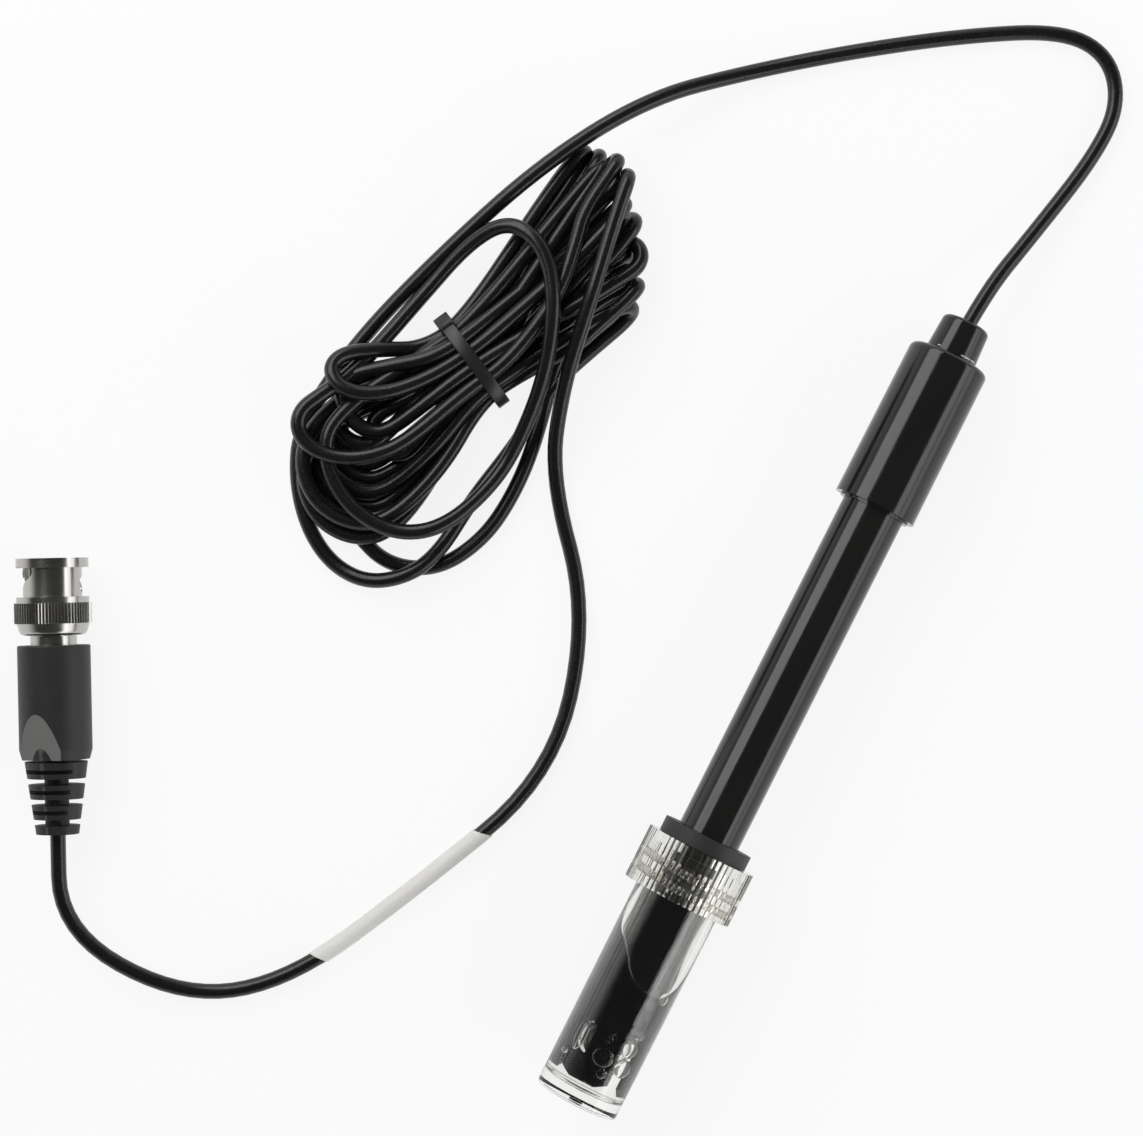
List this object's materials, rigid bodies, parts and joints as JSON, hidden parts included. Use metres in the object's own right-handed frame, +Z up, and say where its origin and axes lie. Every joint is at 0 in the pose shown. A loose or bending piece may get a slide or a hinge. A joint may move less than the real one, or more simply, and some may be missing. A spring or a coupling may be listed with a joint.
{
  "type": "ph electrode",
  "caption": "Combination pH electrode with a slim black body, its tip in a clear screw-capped storage bottle, and a cable tied in a hank that ends in a bayonet coaxial plug.",
  "frame": {"origin": "on the bench under the middle of the electrode and its storage bottle, without the cable", "axes": "+Z up, +Y along the electrode towards its cable end, which leans down a little as it rests"},
  "size_m": [0.1487, 0.2395, 0.0217],
  "materials": {
    "gloss_black": "black moulded plastic, polished",
    "black_rubber": "black rubber",
    "cable_jacket": "satin black cable jacket",
    "black_nylon": "black nylon",
    "label_film": "bare off-white label film",
    "clear_plastic": "clear moulded plastic",
    "clear_glass": "clear thin glass",
    "silver": "silver wire",
    "copper": "bare copper",
    "white_ceramic": "porous white ceramic",
    "resin": "dark potting resin",
    "nickel": "nickel plate",
    "gilt_brass": "gilt brass",
    "white_insulator": "white insulator",
    "boot_rubber": "dark grey moulded rubber"
  },
  "bodies": {
    "electrode": {"body_tube": "gloss_black", "body_cap": "gloss_black", "cap_seal": "black_rubber", "cable_bush": "gloss_black", "glass_stem": "clear_glass", "stem_stopper": "resin", "stem_seal": "black_rubber", "junction": "white_ceramic", "measuring_wire": "silver", "reference_wire": "silver", "core_conductor": "copper", "shield_pigtail": "copper", "plug_body": "nickel", "contact_insulator": "white_insulator", "centre_pin": "gilt_brass", "mating_gasket": "black_rubber", "spring_washer": "nickel", "rear_collar": "nickel", "crimp_ferrule": "nickel", "plug_core": "copper", "plug_boot": "boot_rubber", "cable_lead": "cable_jacket", "cable_hank": "cable_jacket", "cable_tail": "cable_jacket", "cable_in_boot": "cable_jacket", "cable_label": "label_film", "cable_tie": "black_nylon"},
    "bottle": {"storage_bottle": "clear_plastic"},
    "grommet": {"seal_grommet": "black_rubber"},
    "screw_cap": {"bottle_cap": "clear_plastic"},
    "bayonet_nut": {"coupling_nut": "nickel"}
  },
  "joints": [
    {"name": "bottle_pull", "type": "slide", "parent": "electrode", "child": "bottle", "axis": [0, -0.9996, 0.0282], "range_m": [0, 0.065]},
    {"name": "cap_rise", "type": "slide", "parent": "bottle", "child": "grommet", "axis": [0, 0.9996, -0.0282], "range_m": [0, 0.0075]},
    {"name": "cap_turn", "type": "hinge", "parent": "grommet", "child": "screw_cap", "pos_m": [0, -0.03929, 0.01089], "axis": [0, 0.9996, -0.0282], "range_deg": [0, 900]},
    {"name": "nut_turn", "type": "hinge", "parent": "electrode", "child": "bayonet_nut", "pos_m": [-0.1322, -0.0354, 0.00715], "axis": [-0.471, 0.8821, 0], "continuous": true}
  ],
  "couplings": [
    {"joint": "cap_rise", "follows": "cap_turn", "m_per_rad": 0.000477}
  ]
}
